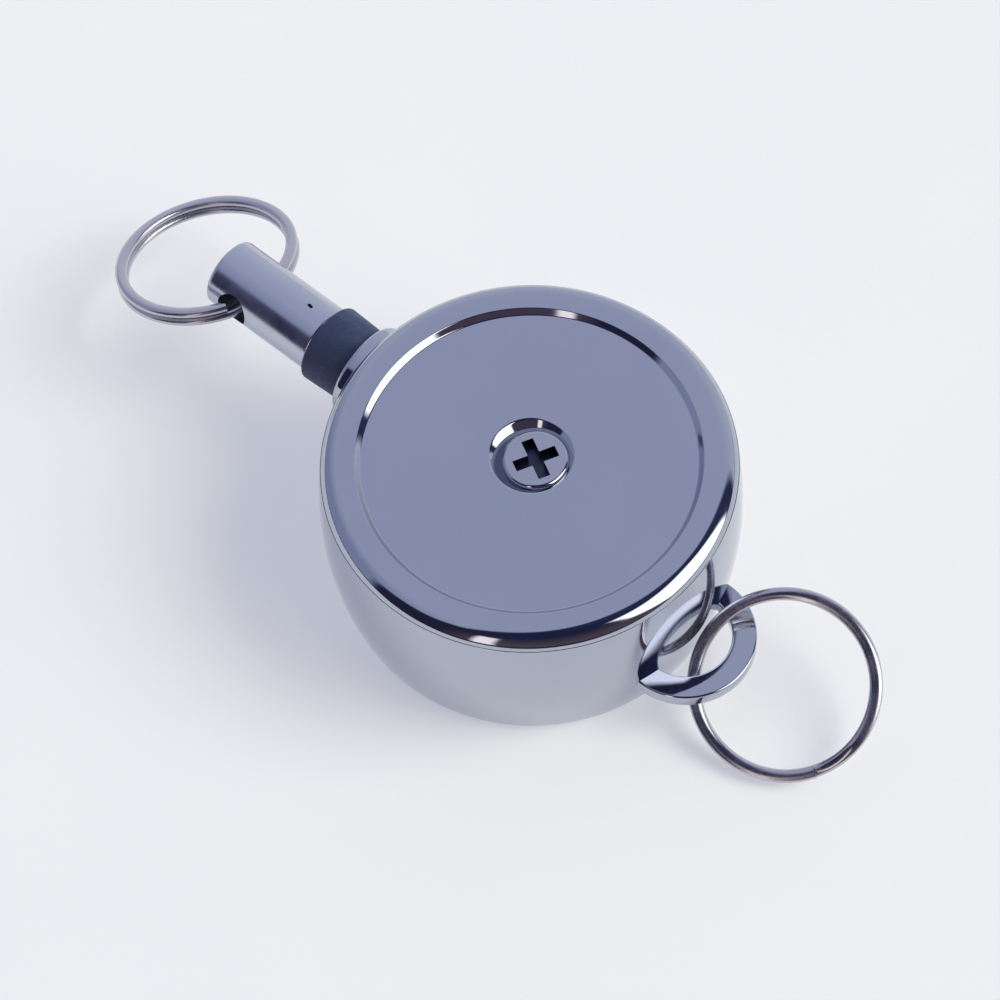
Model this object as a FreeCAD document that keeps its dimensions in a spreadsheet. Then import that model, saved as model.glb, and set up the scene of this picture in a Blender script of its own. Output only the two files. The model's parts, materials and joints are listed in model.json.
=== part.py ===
import FreeCAD, Part
import math
import os
import re
import Sketcher

# Retractable badge reel: a round metal case with a spring-wound cord drum, a cord end fitting
# with a split ring, and a second split ring in the case's lug.
#
# Millimetres and degrees. The origin is the centre of the flat back, on the reel's axis.
# +Z runs along that axis to the front cover, +X points at the lug, and the cord leaves along -X.

DIMENSIONS = {
    # case
    "case_height": 14.5,
    "rim_radius": 16.0,
    "belly_radius": 16.35,
    "belly_height": 9.4,
    "barrel_upper_curve": 52.0,
    "barrel_lower_curve": 35.0,
    "foot_radius": 15.06,
    "foot_rounding": 1.2,
    "cavity_radius": 14.2,
    "floor_thickness": 1.6,
    # anchor lug
    "lug_centre": 15.4,
    "lug_outer_radius": 5.5,
    "lug_hole_radius": 3.75,
    "lug_bottom": 4.4,
    "lug_thickness": 1.3,
    "lug_root": 14.0,
    "lug_edge_rounding": 0.25,
    # cord outlet
    "outlet_height": 10.9,
    "boss_radius": 4.0,
    "boss_root": 14.6,
    "boss_face": 17.05,
    "boss_edge_rounding": 0.35,
    "rim_seat_clearance": 0.05,
    "bushing_radius": 2.0,
    "bushing_inner_end": 14.15,
    "cord_hole_radius": 0.75,
    "bushing_mouth_rounding": 0.5,
    # front cover
    "rim_rounding": 1.5,
    "recess_radius": 13.3,
    "recess_depth": 0.45,
    "recess_slope_width": 0.4,
    "cover_thickness": 1.2,
    "spigot_depth": 1.4,
    "spigot_wall": 0.9,
    "spigot_clearance": 0.05,
    "dimple_radius": 3.15,
    "dimple_depth": 1.6,
    "dimple_wall": 1.2,
    "dimple_rounding": 0.25,
    "screw_clearance_radius": 1.65,
    # cover screw
    "screw_head_radius": 2.55,
    "screw_head_height": 1.5,
    "screw_head_rounding": 0.3,
    "screw_shank_radius": 1.46,
    "screw_length": 6.0,
    "screw_tip_chamfer": 0.4,
    "cross_span": 3.5,
    "cross_width": 0.95,
    "cross_depth": 1.0,
    "cross_angle": 62.6,
    # centre post
    "post_arbor_radius": 3.0,
    "post_journal_radius": 2.5,
    "post_shoulder": 7.7,
    "post_hole_radius": 1.5,
    "post_hole_depth": 7.0,
    "post_key_side": 3.4,
    "post_key_height": 0.8,
    "key_clearance": 0.03,
    "spring_slot_width": 0.4,
    "spring_slot_depth": 2.2,
    # thrust washers
    "washer_thickness": 0.5,
    "washer_bore_clearance": 0.1,
    "lower_washer_radius": 6.0,
    "upper_washer_radius": 4.2,
    "end_play": 0.05,
    # cord drum
    "drum_radius": 13.6,
    "spring_pocket_radius": 12.4,
    "spring_pocket_top": 7.75,
    "cover_rabbet_radius": 12.9,
    "spring_cover_thickness": 0.5,
    "spring_cover_bore_radius": 3.4,
    "groove_width": 2.9,
    "groove_root_radius": 9.2,
    "drum_flange_thickness": 0.6,
    "drum_recess_inner_radius": 4.6,
    "drum_recess_outer_radius": 8.2,
    "drum_recess_floor": 9.6,
    "bush_outer_radius": 3.4,
    "bush_clearance": 0.04,
    "spring_notch_depth": 0.35,
    "spring_notch_width": 2.0,
    # power spring
    "spring_strip": 0.2,
    "spring_width": 4.6,
    "spring_inner_radius": 3.3,
    "spring_outer_radius": 12.1,
    "spring_turns": 10.0,
    "spring_tab": 1.7,
    # cord
    "cord_radius": 0.45,
    "cord_pitch": 0.93,
    "cord_inner_layer": 9.7,
    "cord_bend_radius": 3.0,
    "crimp_radius": 0.9,
    "crimp_length": 2.2,
    "crimp_wall_gap": 0.02,
    "crimp_seat_gap": 0.08,
    # end fitting, bumper and its ring
    "bumper_length": 3.8,
    "bumper_outer_radius": 3.3,
    "bumper_case_radius": 3.15,
    "bumper_gap": 0.02,
    "bumper_hole_radius": 0.55,
    "bumper_edge_rounding": 0.2,
    "fitting_radius": 2.82,
    "fitting_length": 10.5,
    "fitting_edge_rounding": 0.35,
    "fitting_bore_radius": 1.2,
    "fitting_bore_depth": 5.6,
    "cross_hole_radius": 1.42,
    "cross_hole_setback": 2.8,
    "cross_hole_tilt": 8.0,
    "punch_radius": 0.25,
    "punch_depth": 0.25,
    "punch_distance": 2.05,
    "punch_side": 0.49,
    "end_crimp_start": 2.0,
    "end_crimp_length": 3.0,
    "end_crimp_radius": 1.18,
    # split rings
    "ring_mean_radius": 7.0,
    "ring_coil_gap": 0.04,
    "ring_wire_rounding": 0.2,
    "ring_jog_angle": 30.0,
    "key_wire_width": 0.96,
    "key_coil_height": 0.73,
    "key_ring_across": -34.54,
    "key_ring_aside": 0.61,
    "key_ring_height": 8.51,
    "key_ring_droop": 19.1,
    "key_ring_tilt": 8.7,
    "anchor_wire_width": 1.0,
    "anchor_coil_height": 0.63,
    "anchor_ring_across": 23.62,
    "anchor_ring_aside": 1.96,
    "anchor_ring_height": 4.37,
    "anchor_ring_lean": 29.9,
    "anchor_ring_heading": -64.0,
}

SHEET_NAME = "Dims"
ORIGIN_POINT = -1
HORIZONTAL_AXIS = -1
VERTICAL_AXIS = -2
START_VERTEX = 1
END_VERTEX = 2
CENTRE_VERTEX = 3
TINY = 1e-9
CLOSE = 1e-4

document = FreeCAD.newDocument("BadgeReel")


def make_sheet():
    """Write the driving dimensions into a spreadsheet, one aliased cell each."""
    sheet = document.addObject("Spreadsheet::Sheet", SHEET_NAME)
    for row, (alias, size) in enumerate(DIMENSIONS.items(), start=1):
        sheet.set("A%d" % row, alias.replace("_", " "))
        sheet.set("B%d" % row, str(size))
        sheet.setAlias("B%d" % row, alias)
    document.recompute()
    return sheet


sheet = make_sheet()


def in_sheet_terms(formula):
    """Point every dimension's name in a formula at its cell."""
    return re.sub(r"[a-z]+(_[a-z]+)+", SHEET_NAME + r".\g<0>", formula)


def value(formula):
    """The number that a formula in dimension names comes to."""
    return float(sheet.evalExpression(in_sheet_terms(formula)))


def bind(thing, property_path, formula):
    """Drive one property from the sheet."""
    thing.setExpression(property_path, in_sheet_terms(formula))


def new_body(label, up="0"):
    """A body whose own origin sits on the reel's axis at the given height."""
    body = document.addObject("PartDesign::Body", label)
    body.Label = label
    bind(body, "Placement.Base.z", up)
    return body


def new_cord_line_body(label, distance):
    """A body whose own Z axis runs outwards along the cord, from a distance along -X."""
    body = document.addObject("PartDesign::Body", label)
    body.Label = label
    body.Placement = FreeCAD.Placement(
        FreeCAD.Vector(), FreeCAD.Rotation(FreeCAD.Vector(0, 1, 0), -90))
    bind(body, "Placement.Base.x", "-(" + distance + ")")
    bind(body, "Placement.Base.z", "outlet_height")
    return body


def sketch_on(body, name, role, offset="0", turn=0.0):
    """A sketch on one of the body's origin planes, moved along its normal and turned."""
    sketch = body.newObject("Sketcher::SketchObject", name)
    plane = next(item for item in body.Origin.OriginFeatures if item.Role == role)
    sketch.AttachmentSupport = [(plane, "")]
    sketch.MapMode = "FlatFace"
    sketch.AttachmentOffset = FreeCAD.Placement(
        FreeCAD.Vector(), FreeCAD.Rotation(FreeCAD.Vector(0, 1, 0), turn))
    bind(sketch, "AttachmentOffset.Base.z", offset)
    return sketch


def pin_vertex(sketch, geometry, vertex, across, up):
    """Hold a sketch vertex at a place given by two formulas."""
    for kind, axis, formula in (("DistanceX", VERTICAL_AXIS, across),
                                ("DistanceY", HORIZONTAL_AXIS, up)):
        size = value(formula)
        if abs(size) < TINY:
            sketch.addConstraint(Sketcher.Constraint("PointOnObject", geometry, vertex, axis))
            continue
        index = sketch.addConstraint(
            Sketcher.Constraint(kind, ORIGIN_POINT, START_VERTEX, geometry, vertex, size))
        bind(sketch, "Constraints[%d]" % index, formula)


def hold_radius(sketch, geometry, formula):
    """Give an arc or circle its radius."""
    index = sketch.addConstraint(Sketcher.Constraint("Radius", geometry, value(formula)))
    bind(sketch, "Constraints[%d]" % index, formula)


def arc_between(start, end, radius, outward):
    """The shorter arc joining two points, and whether it runs from start to end."""
    chord = end - start
    half_chord = chord.Length / 2
    left = FreeCAD.Vector(-chord.y, chord.x, 0).normalize()
    side = 1 if outward else -1
    centre = (start + end) * 0.5 + left * side * math.sqrt(radius ** 2 - half_chord ** 2)
    first, last = (start, end) if outward else (end, start)
    circle = Part.Circle(centre, FreeCAD.Vector(0, 0, 1), radius)
    first_angle = math.atan2(first.y - centre.y, first.x - centre.x)
    last_angle = math.atan2(last.y - centre.y, last.x - centre.x)
    return Part.ArcOfCircle(circle, first_angle, last_angle)


def draw_outline(sketch, corners):
    """Draw a closed counterclockwise outline.

    Each corner is (across, up). A third item is the radius of an arc that runs from that
    corner to the next one and bulges outwards, or inwards when it starts with "hollow ".
    """
    points = [FreeCAD.Vector(value(corner[0]), value(corner[1]), 0) for corner in corners]
    ends = []
    for number, corner in enumerate(corners):
        start = points[number]
        end = points[(number + 1) % len(points)]
        if len(corner) == 2:
            geometry = sketch.addGeometry(Part.LineSegment(start, end))
            ends.append((geometry, START_VERTEX, END_VERTEX))
            continue
        outward = not corner[2].startswith("hollow ")
        radius = corner[2].replace("hollow ", "")
        geometry = sketch.addGeometry(arc_between(start, end, value(radius), outward))
        hold_radius(sketch, geometry, radius)
        ends.append((geometry, START_VERTEX, END_VERTEX) if outward
                    else (geometry, END_VERTEX, START_VERTEX))
    for number, (geometry, first, last) in enumerate(ends):
        following, following_first, _ = ends[(number + 1) % len(ends)]
        sketch.addConstraint(
            Sketcher.Constraint("Coincident", geometry, last, following, following_first))
        pin_vertex(sketch, geometry, first, corners[number][0], corners[number][1])


def draw_circle(sketch, across, up, radius):
    """Draw a full circle."""
    centre = FreeCAD.Vector(value(across), value(up), 0)
    circle = Part.Circle(centre, FreeCAD.Vector(0, 0, 1), value(radius))
    geometry = sketch.addGeometry(circle)
    pin_vertex(sketch, geometry, CENTRE_VERTEX, across, up)
    hold_radius(sketch, geometry, radius)


def draw_rectangle(sketch, left, right, bottom, top):
    """Draw an upright rectangle from its four sides' places."""
    draw_outline(sketch, [(left, bottom), (right, bottom), (right, top), (left, top)])


def turned(body, name, corners, angle="360"):
    """Revolve an outline about the body's own Z axis."""
    sketch = sketch_on(body, name + "Outline", "XZ_Plane")
    draw_outline(sketch, corners)
    feature = body.newObject("PartDesign::Revolution", name)
    feature.Profile = sketch
    feature.ReferenceAxis = (sketch, ["V_Axis"])
    bind(feature, "Angle", angle)
    document.recompute()
    return feature


def extruded(body, kind, name, sketch, length, backwards=False, both_ways=False):
    """Pad or pocket a sketch, and check that it changed the body the way it should."""
    before = body.Shape.Volume if body.Tip else 0.0
    feature = body.newObject("PartDesign::" + kind, name)
    feature.Profile = sketch
    bind(feature, "Length", length)
    feature.Reversed = backwards
    if both_ways:
        feature.Midplane = True
    document.recompute()
    change = body.Shape.Volume - before
    if (kind == "Pad") != (change > TINY):
        raise RuntimeError("%s of %s changed its volume by %g" % (name, body.Label, change))
    return feature


def rounded(body, name, radius, chosen):
    """Round the edges that the test picks."""
    base = body.Tip
    edges = ["Edge%d" % number for number, edge in enumerate(base.Shape.Edges, start=1)
             if chosen(edge)]
    if not edges:
        raise RuntimeError("%s of %s found no edge" % (name, body.Label))
    feature = body.newObject("PartDesign::Fillet", name)
    feature.Base = (base, edges)
    bind(feature, "Radius", radius)
    document.recompute()
    return feature


def is_ring_edge(edge, radius, height):
    """True for a circle of this radius about the body's own Z axis at this height."""
    curve = edge.Curve
    return (isinstance(curve, Part.Circle)
            and abs(curve.Radius - radius) < CLOSE
            and abs(curve.Center.z - height) < CLOSE
            and math.hypot(curve.Center.x, curve.Center.y) < CLOSE)


# Case

def add_lug(body):
    """The half ring that stands out of the case's side and holds the anchor ring."""
    sketch = sketch_on(body, "LugOutline", "XY_Plane", "lug_bottom")
    draw_outline(sketch, [
        ("lug_root", "-lug_outer_radius"),
        ("lug_centre", "-lug_outer_radius", "lug_outer_radius"),
        ("lug_centre + lug_outer_radius", "0", "lug_outer_radius"),
        ("lug_centre", "lug_outer_radius"),
        ("lug_root", "lug_outer_radius"),
        ("lug_root", "lug_hole_radius"),
        ("lug_centre", "lug_hole_radius", "hollow lug_hole_radius"),
        ("lug_centre + lug_hole_radius", "0", "hollow lug_hole_radius"),
        ("lug_centre", "-lug_hole_radius"),
        ("lug_root", "-lug_hole_radius"),
    ])
    extruded(body, "Pad", "Lug", sketch, "lug_thickness")
    centre = value("lug_centre")
    radii = (value("lug_outer_radius"), value("lug_hole_radius"))

    def is_lug_arc(edge):
        curve = edge.Curve
        return (isinstance(curve, Part.Circle)
                and abs(curve.Center.x - centre) < CLOSE
                and any(abs(curve.Radius - radius) < CLOSE for radius in radii))

    rounded(body, "LugEdges", "lug_edge_rounding", is_lug_arc)


def add_outlet_boss(body):
    """The short tube that the cord leaves through, cut back for the cover's rim and bored for its bushing."""
    sketch = sketch_on(body, "BossOutline", "YZ_Plane", "-boss_root")
    draw_circle(sketch, "0", "outlet_height", "boss_radius")
    extruded(body, "Pad", "Boss", sketch, "boss_face - boss_root", backwards=True)
    face = -value("boss_face")
    rounded(body, "BossEdge", "boss_edge_rounding",
            lambda edge: isinstance(edge.Curve, Part.Circle) and abs(edge.Curve.Center.x - face) < CLOSE)
    seat = sketch_on(body, "RimSeatOutline", "XY_Plane", "case_height")
    draw_circle(seat, "0", "0", "rim_radius + rim_seat_clearance")
    extruded(body, "Pocket", "RimSeat", seat, "boss_radius", backwards=True)
    bore = sketch_on(body, "BoreOutline", "YZ_Plane", "-boss_face")
    draw_circle(bore, "0", "outlet_height", "bushing_radius")
    extruded(body, "Pocket", "Bore", bore, "boss_face - cavity_radius + cord_hole_radius", backwards=True)


def make_case_shell():
    """The deep round cup with its lug, outlet boss and the socket for the post's key."""
    body = new_body("case_shell")
    turned(body, "Cup", [
        ("0", "0"),
        ("foot_radius", "0", "barrel_lower_curve"),
        ("belly_radius", "belly_height", "barrel_upper_curve"),
        ("rim_radius", "case_height"),
        ("cavity_radius", "case_height"),
        ("cavity_radius", "floor_thickness"),
        ("0", "floor_thickness"),
    ])
    foot = value("foot_radius")
    rounded(body, "FootRounding", "foot_rounding", lambda edge: is_ring_edge(edge, foot, 0))
    add_lug(body)
    add_outlet_boss(body)
    socket = sketch_on(body, "SocketOutline", "XY_Plane", "floor_thickness")
    half = "post_key_side / 2 + key_clearance"
    draw_rectangle(socket, "-(" + half + ")", half, "-(" + half + ")", half)
    extruded(body, "Pocket", "Socket", socket, "post_key_height + key_clearance")
    return body


def make_front_cover():
    """The round cap: rolled rim, shallow recess, central dimple and a spigot into the case."""
    body = new_body("front_cover", up="case_height")
    disc_top = "rim_rounding - recess_depth"
    turned(body, "Cap", [
        ("screw_clearance_radius", disc_top + " - dimple_depth - dimple_wall"),
        ("dimple_radius + dimple_wall", disc_top + " - dimple_depth - dimple_wall"),
        ("dimple_radius + dimple_wall", disc_top + " - cover_thickness"),
        ("cavity_radius - spigot_clearance - spigot_wall", disc_top + " - cover_thickness"),
        ("cavity_radius - spigot_clearance - spigot_wall", "-spigot_depth"),
        ("cavity_radius - spigot_clearance", "-spigot_depth"),
        ("cavity_radius - spigot_clearance", "0"),
        ("rim_radius", "0", "rim_rounding"),
        ("rim_radius - rim_rounding", "rim_rounding"),
        ("recess_radius", "rim_rounding"),
        ("recess_radius - recess_slope_width", disc_top),
        ("dimple_radius", disc_top),
        ("dimple_radius", disc_top + " - dimple_depth"),
        ("screw_clearance_radius", disc_top + " - dimple_depth"),
    ])
    radius = value("dimple_radius")
    height = value(disc_top)
    rounded(body, "DimpleEdge", "dimple_rounding", lambda edge: is_ring_edge(edge, radius, height))
    return body


def make_cover_screw():
    """Pan head machine screw with a cross recess; its own origin is under the head."""
    body = new_body("cover_screw", up="case_height + rim_rounding - recess_depth - dimple_depth")
    turned(body, "Screw", [
        ("0", "-screw_length"),
        ("screw_shank_radius - screw_tip_chamfer", "-screw_length"),
        ("screw_shank_radius", "screw_tip_chamfer - screw_length"),
        ("screw_shank_radius", "0"),
        ("screw_head_radius", "0"),
        ("screw_head_radius", "screw_head_height"),
        ("0", "screw_head_height"),
    ])
    radius = value("screw_head_radius")
    height = value("screw_head_height")
    rounded(body, "HeadRounding", "screw_head_rounding", lambda edge: is_ring_edge(edge, radius, height))
    for number in range(2):
        slot = sketch_on(body, "CrossSlot%dOutline" % number, "XY_Plane", "screw_head_height")
        half_span = "cross_span / 2"
        half_width = "cross_width / 2"
        across, up = (half_span, half_width) if number == 0 else (half_width, half_span)
        draw_rectangle(slot, "-" + across, across, "-" + up, up)
        extruded(body, "Pocket", "CrossSlot%d" % number, slot, "cross_depth")
    bind(body, "Placement.Rotation.Angle", "cross_angle")
    return body


def make_outlet_bushing():
    """The eyelet in the outlet boss, flared at both mouths so that the cord runs freely."""
    body = new_cord_line_body("outlet_bushing", "bushing_inner_end")
    length = "(boss_face - bushing_inner_end)"
    turned(body, "Eyelet", [
        ("cord_hole_radius", "0"),
        ("bushing_radius", "0"),
        ("bushing_radius", length),
        ("cord_hole_radius", length),
    ])
    radius = value("cord_hole_radius")
    heights = (0, value(length))
    rounded(body, "Mouths", "bushing_mouth_rounding",
            lambda edge: any(is_ring_edge(edge, radius, height) for height in heights))
    return body


# Shaft and washers

def make_centre_post():
    """The fixed shaft: square key, spring arbor, journal for the drum, tapped from the top."""
    body = new_body("centre_post", up="floor_thickness")
    top = "case_height + rim_rounding - recess_depth - dimple_depth - dimple_wall - floor_thickness"
    turned(body, "Shaft", [
        ("0", "0"),
        ("post_arbor_radius", "0"),
        ("post_arbor_radius", "post_shoulder - floor_thickness"),
        ("post_journal_radius", "post_shoulder - floor_thickness"),
        ("post_journal_radius", top),
        ("post_hole_radius", top),
        ("post_hole_radius", top + " - post_hole_depth"),
        ("0", top + " - post_hole_depth"),
    ])
    key = sketch_on(body, "KeyOutline", "XY_Plane")
    half = "post_key_side / 2"
    draw_rectangle(key, "-" + half, half, "-" + half, half)
    extruded(body, "Pad", "Key", key, "post_key_height", backwards=True)
    slot = sketch_on(body, "SlotOutline", "XY_Plane", "post_shoulder - floor_thickness")
    draw_rectangle(slot, "post_arbor_radius - spring_slot_depth", "post_arbor_radius + spring_strip",
                   "-spring_slot_width / 2", "spring_slot_width / 2")
    extruded(body, "Pocket", "SpringSlot", slot, "spring_width + spring_slot_width")
    return body


def make_washer(label, up, bore, radius):
    """A flat thrust washer."""
    body = new_body(label, up=up)
    turned(body, "Washer", [
        (bore, "0"),
        (radius, "0"),
        (radius, "washer_thickness"),
        (bore, "washer_thickness"),
    ])
    return body


# Drum

DRUM_BOTTOM = "(floor_thickness + washer_thickness + end_play)"
DRUM_TOP = ("(case_height + rim_rounding - recess_depth - dimple_depth - dimple_wall"
            " - washer_thickness - end_play)")


def make_cord_drum():
    """The spool: cord groove above, spring pocket below, and a hub for the bush."""
    body = new_body("cord_drum", up=DRUM_BOTTOM)

    def up(height):
        return height + " - " + DRUM_BOTTOM

    groove_bottom = up("outlet_height - groove_width / 2")
    groove_top = up("outlet_height + groove_width / 2")
    flange_top = up("outlet_height + groove_width / 2 + drum_flange_thickness")
    turned(body, "Spool", [
        ("bush_outer_radius", up("spring_pocket_top")),
        ("spring_pocket_radius", up("spring_pocket_top")),
        ("spring_pocket_radius", "spring_cover_thickness"),
        ("cover_rabbet_radius", "spring_cover_thickness"),
        ("cover_rabbet_radius", "0"),
        ("drum_radius", "0"),
        ("drum_radius", groove_bottom),
        ("groove_root_radius", groove_bottom),
        ("groove_root_radius", groove_top),
        ("drum_radius", groove_top),
        ("drum_radius", flange_top),
        ("drum_recess_outer_radius", flange_top),
        ("drum_recess_outer_radius", up("drum_recess_floor")),
        ("drum_recess_inner_radius", up("drum_recess_floor")),
        ("drum_recess_inner_radius", up(DRUM_TOP)),
        ("bush_outer_radius", up(DRUM_TOP)),
    ])
    notch = sketch_on(body, "NotchOutline", "XY_Plane", "spring_cover_thickness")
    draw_rectangle(notch, "spring_pocket_radius - spring_notch_depth",
                   "spring_pocket_radius + spring_notch_depth",
                   "-spring_notch_width / 2", "spring_notch_width / 2")
    extruded(body, "Pocket", "SpringNotch", notch,
             up("spring_pocket_top") + " - spring_cover_thickness", backwards=True)
    hole = sketch_on(body, "CordHoleOutline", "YZ_Plane", "-groove_root_radius - cord_radius")
    draw_circle(hole, "0", up("outlet_height"), "cord_radius + end_play")
    extruded(body, "Pocket", "CordHole", hole,
             "groove_root_radius + 2 * cord_radius - drum_recess_outer_radius", backwards=True)
    return body


def make_drum_bush():
    """The brass bearing pressed into the drum; it turns on the post's journal."""
    body = new_body("drum_bush", up="spring_pocket_top")
    turned(body, "Bush", [
        ("post_journal_radius + bush_clearance", "0"),
        ("bush_outer_radius", "0"),
        ("bush_outer_radius", DRUM_TOP + " - spring_pocket_top"),
        ("post_journal_radius + bush_clearance", DRUM_TOP + " - spring_pocket_top"),
    ])
    return body


def make_spring_cover():
    """The thin disc that closes the spring pocket."""
    body = new_body("spring_cover", up=DRUM_BOTTOM)
    turned(body, "Disc", [
        ("spring_cover_bore_radius", "0"),
        ("cover_rabbet_radius", "0"),
        ("cover_rabbet_radius", "spring_cover_thickness"),
        ("spring_cover_bore_radius", "spring_cover_thickness"),
    ])
    return body


def spiral_point(turns, offset):
    """A point on the spring's spiral, moved outwards by an offset."""
    growth = value("spring_outer_radius - spring_inner_radius") / value("spring_turns")
    radius = value("spring_inner_radius") + growth * turns + offset
    angle = 2 * math.pi * turns
    return FreeCAD.Vector(radius * math.cos(angle), radius * math.sin(angle), 0)


def make_power_spring():
    """The flat spiral spring, with its inner tab in the post's slot and its outer end in the
    drum's notch."""
    points_per_turn = 16
    half_strip = value("spring_strip") / 2
    count = int(round(value("spring_turns") * points_per_turn))
    turns = [number / points_per_turn for number in range(count + 1)]
    edges = []
    for offset in (-half_strip, half_strip):
        curve = Part.BSplineCurve()
        curve.interpolate([spiral_point(turn, offset) for turn in turns])
        edges.append(curve.toShape())
    inner_edge, outer_edge = edges
    tab_end = value("spring_inner_radius - spring_tab")
    start_inside = spiral_point(0, -half_strip)
    start_outside = spiral_point(0, half_strip)
    corners = [
        start_inside,
        FreeCAD.Vector(tab_end, 0, 0),
        FreeCAD.Vector(tab_end, -value("spring_strip"), 0),
        FreeCAD.Vector(start_outside.x, -value("spring_strip"), 0),
        start_outside,
    ]
    outer_end = Part.makeLine(spiral_point(turns[-1], -half_strip), spiral_point(turns[-1], half_strip))
    tab = Part.makePolygon(corners)
    wire = Part.Wire(Part.__sortEdges__([inner_edge, outer_edge, outer_end] + tab.Edges))
    shape = Part.Face(wire).extrude(FreeCAD.Vector(0, 0, value("spring_width")))
    spring = document.addObject("Part::Feature", "power_spring")
    spring.Label = "power_spring"
    spring.Shape = shape
    height = value(DRUM_BOTTOM + " + spring_cover_thickness + spring_pocket_top") / 2
    height -= value("spring_width") / 2
    spring.Placement = FreeCAD.Placement(FreeCAD.Vector(0, 0, height), FreeCAD.Rotation())
    return spring


# Cord

def make_cord_coils():
    """The wound cord as one pack: two full layers, two outer turns, and the end that goes
    through the drum's wall."""
    body = new_body("cord_coils", up="outlet_height")
    inner = "cord_inner_layer - cord_radius"
    second = "cord_inner_layer + cord_pitch"
    outer = "cord_inner_layer + 2 * cord_pitch"
    turned(body, "Pack", [
        (inner, "-cord_pitch - cord_radius"),
        (outer, "-cord_pitch - cord_radius", "cord_radius"),
        (outer + " + cord_radius", "-cord_pitch", "cord_radius"),
        (outer, "cord_radius - cord_pitch"),
        (second, "cord_radius - cord_pitch"),
        (second + " + cord_radius", "0"),
        (second, "cord_pitch - cord_radius"),
        (outer, "cord_pitch - cord_radius", "cord_radius"),
        (outer + " + cord_radius", "cord_pitch", "cord_radius"),
        (outer, "cord_pitch + cord_radius"),
        (inner, "cord_pitch + cord_radius"),
    ])
    stub = sketch_on(body, "StubOutline", "YZ_Plane", "-cord_inner_layer")
    draw_circle(stub, "0", "0", "cord_radius")
    extruded(body, "Pad", "Stub", stub,
             "cord_inner_layer - drum_recess_outer_radius + crimp_length")
    return body


def make_drum_crimp():
    """The ferrule that holds the cord's inner end behind the drum's wall."""
    body = new_cord_line_body(
        "drum_crimp", "drum_recess_outer_radius - crimp_length - crimp_seat_gap")
    turned(body, "Ferrule", [
        ("cord_radius + crimp_wall_gap", "0"),
        ("crimp_radius", "0"),
        ("crimp_radius", "crimp_length"),
        ("cord_radius + crimp_wall_gap", "crimp_length"),
    ])
    return body


def make_cord_run():
    """The cord between the drum and the end fitting, with the bend at the case's wall."""
    body = new_cord_line_body("cord_run", "0")
    layer = value("cord_inner_layer + 2 * cord_pitch")
    mouth = value("bushing_inner_end")
    bend = value("cord_bend_radius")
    lead_angle = math.acos(layer / mouth)
    touch = FreeCAD.Vector(layer * math.sin(lead_angle), layer * math.cos(lead_angle), 0)
    corner = FreeCAD.Vector(0, mouth, 0)
    lead = (touch - corner).normalize()
    setback = bend * math.tan(math.acos(-lead.y) / 2)
    outer_end = FreeCAD.Vector(0, value("boss_face + bumper_length + end_crimp_start + end_crimp_length"), 0)
    bend_start = corner + FreeCAD.Vector(0, setback, 0)
    bend_end = corner + lead * setback
    bend_centre = bend_start + FreeCAD.Vector(bend, 0, 0)
    bend_middle = bend_centre + (corner - bend_centre).normalize() * bend
    path = sketch_on(body, "Path", "YZ_Plane")
    path.addGeometry(Part.LineSegment(outer_end, bend_start))
    path.addGeometry(Part.Arc(bend_start, bend_middle, bend_end))
    path.addGeometry(Part.LineSegment(bend_end, touch))
    section = sketch_on(body, "Section", "XY_Plane",
                        "boss_face + bumper_length + end_crimp_start + end_crimp_length")
    draw_circle(section, "0", "0", "cord_radius")
    pipe = body.newObject("PartDesign::AdditivePipe", "Cord")
    pipe.Profile = section
    pipe.Spine = (path, [])
    document.recompute()
    return body


# Cord end

def make_rubber_bumper():
    """The tapered rubber sleeve that softens the stop against the outlet boss."""
    body = new_cord_line_body("rubber_bumper", "boss_face + bumper_gap")
    length = "(bumper_length - bumper_gap)"
    turned(body, "Sleeve", [
        ("bumper_hole_radius", "0"),
        ("bumper_case_radius", "0"),
        ("bumper_outer_radius", length),
        ("bumper_hole_radius", length),
    ])
    rims = ((value("bumper_case_radius"), 0), (value("bumper_outer_radius"), value(length)))
    rounded(body, "Edges", "bumper_edge_rounding",
            lambda edge: any(is_ring_edge(edge, radius, height) for radius, height in rims))
    return body


def make_end_fitting():
    """The polished cylinder: blind bore for the cord's end, cross hole and punch mark."""
    body = new_cord_line_body("end_fitting", "boss_face + bumper_length")
    turned(body, "Barrel", [
        ("0", "fitting_bore_depth"),
        ("fitting_bore_radius", "fitting_bore_depth"),
        ("fitting_bore_radius", "0"),
        ("fitting_radius", "0"),
        ("fitting_radius", "fitting_length"),
        ("0", "fitting_length"),
    ])
    radius = value("fitting_radius")
    ends = (0, value("fitting_length"))
    rounded(body, "Edges", "fitting_edge_rounding",
            lambda edge: any(is_ring_edge(edge, radius, height) for height in ends))
    hole = sketch_on(body, "CrossHoleOutline", "XZ_Plane", turn=value("cross_hole_tilt"))
    draw_circle(hole, "0", "fitting_length - cross_hole_setback", "cross_hole_radius")
    extruded(body, "Pocket", "CrossHole", hole, "4 * fitting_radius", both_ways=True)
    punch = sketch_on(body, "PunchOutline", "YZ_Plane", "fitting_radius")
    draw_circle(punch, "punch_side", "punch_distance", "punch_radius")
    extruded(body, "Pocket", "PunchMark", punch, "punch_depth")
    return body


def make_end_crimp():
    """The ferrule that anchors the cord inside the end fitting."""
    body = new_cord_line_body("end_crimp", "boss_face + bumper_length + end_crimp_start")
    turned(body, "Ferrule", [
        ("cord_radius + crimp_wall_gap", "0"),
        ("end_crimp_radius", "0"),
        ("end_crimp_radius", "end_crimp_length"),
        ("cord_radius + crimp_wall_gap", "end_crimp_length"),
    ])
    return body


# Split rings

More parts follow.
